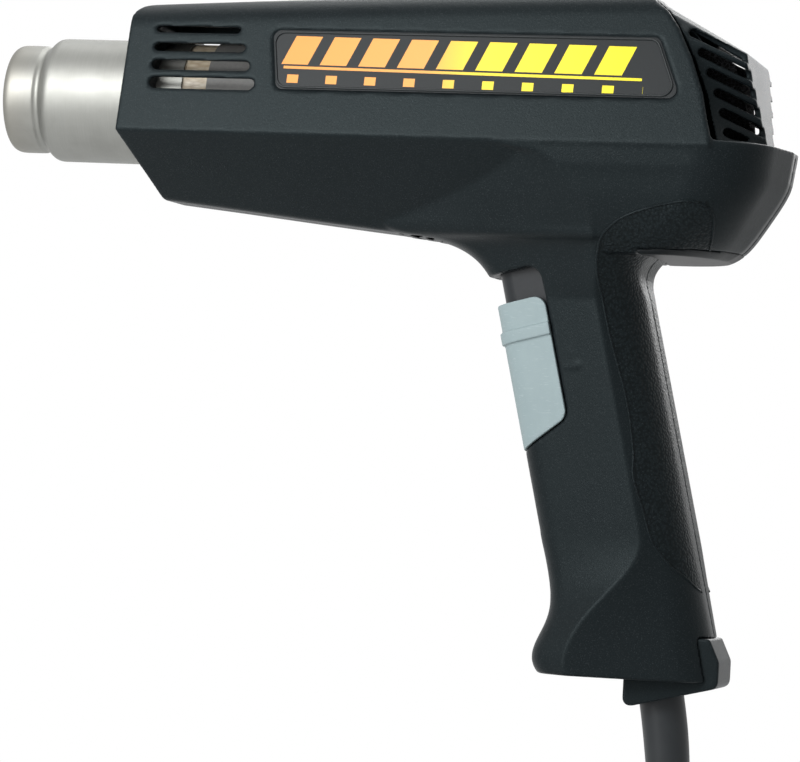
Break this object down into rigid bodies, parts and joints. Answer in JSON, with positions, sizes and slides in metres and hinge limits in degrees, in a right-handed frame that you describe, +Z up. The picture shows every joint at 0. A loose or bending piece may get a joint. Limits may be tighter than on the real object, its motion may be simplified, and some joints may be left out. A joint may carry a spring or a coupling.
{
  "type": "embossing heat tool",
  "caption": "Pistol-shaped hot-air tool for melting embossing powder: steel nozzle, slide switch on the grip, louvred rear intake, two-pin mains cord with its spare length coiled.",
  "frame": {"origin": "middle of the grip, on the plane where the two half-shells meet", "axes": "-X along the nozzle towards its mouth, +X to the rear, +Y to the side with the screw heads, +Z up, with the nozzle level as the tool is held"},
  "size_m": [0.2502, 0.1236, 0.3325],
  "materials": {
    "housing_plastic": "fine spark-eroded grain, satin black",
    "grille_plastic": "satin black",
    "filter_foam": "open foam",
    "bumper_rubber": "matte",
    "nameplate": "satin film with amber bars",
    "nozzle_steel": "brushed stainless",
    "mica": "layered mica sheet",
    "core_ceramic": "unglazed white",
    "heating_wire": "oxidised wound wire",
    "cutout_metal": "drawn can",
    "duct_plastic": "heat-proof moulding, off-white",
    "fan_plastic": "glass-filled black",
    "shaft_steel": "ground",
    "mount_plastic": "black",
    "motor_zinc": "zinc plated",
    "bearing_bronze": "sintered bronze",
    "magnet_ferrite": "dark ferrite",
    "armature_steel": "lacquered laminations",
    "commutator_copper": "copper",
    "cap_plastic": "cream",
    "board_laminate": "green laminate",
    "diode_black": "moulded",
    "knob_plastic": "light blue-grey",
    "guide_plastic": "smooth black",
    "carriage_plastic": "white acetal",
    "switch_plastic": "black",
    "capacitor_case": "yellow box",
    "block_plastic": "white",
    "lead_sleeving": "glass sleeving",
    "lead_red": "red insulation",
    "lead_blue": "blue insulation",
    "screw_steel": "black oxide",
    "clamp_plastic": "black",
    "outlet_plastic": "satin black",
    "sleeve_rubber": "satin",
    "cord_rubber": "satin black",
    "plug_plastic": "moulded, satin black",
    "blade_metal": "nickel-plated brass"
  },
  "bodies": {
    "housing": {"left_housing_shell": "housing_plastic", "right_housing_shell": "housing_plastic", "tail_bumper": "bumper_rubber", "intake_grille": "grille_plastic", "intake_filter": "filter_foam", "left_nameplate": "nameplate", "right_nameplate": "nameplate", "nozzle_tube": "nozzle_steel", "mica_sleeve": "mica", "heater_core": "core_ceramic", "heater_wire": "heating_wire", "core_holder": "core_ceramic", "thermal_cutout": "cutout_metal", "air_duct": "duct_plastic", "motor_mount": "mount_plastic", "motor_can": "motor_zinc", "motor_bearings": "bearing_bronze", "motor_magnets": "magnet_ferrite", "motor_end_cap": "cap_plastic", "rectifier_board": "board_laminate", "rectifier_diodes": "diode_black", "switch_guide": "guide_plastic", "switch_body": "switch_plastic", "suppression_capacitor": "capacitor_case", "terminal_block": "block_plastic", "heater_leads": "lead_sleeving", "motor_leads": "lead_red", "supply_leads": "lead_blue", "housing_screws": "screw_steel", "cord_clamp": "clamp_plastic", "clamp_screws": "screw_steel", "cord_outlet": "outlet_plastic", "cord_sleeve": "sleeve_rubber", "inner_cord": "cord_rubber", "power_cord": "cord_rubber", "cord_coil": "cord_rubber", "plug_cord": "cord_rubber", "plug_body": "plug_plastic", "plug_blades": "blade_metal"},
    "slider": {"switch_knob": "knob_plastic", "switch_carriage": "carriage_plastic"},
    "rotor": {"fan_impeller": "fan_plastic", "motor_shaft": "shaft_steel", "motor_armature": "armature_steel", "motor_commutator": "commutator_copper"}
  },
  "joints": [
    {"name": "switch_slide", "type": "slide", "parent": "housing", "child": "slider", "axis": [-0.2385, 0, 0.9711], "range_m": [0, 0.008]},
    {"name": "fan_spin", "type": "hinge", "parent": "housing", "child": "rotor", "pos_m": [-0.036, 0, 0.11], "axis": [1, 0, 0], "continuous": true}
  ]
}
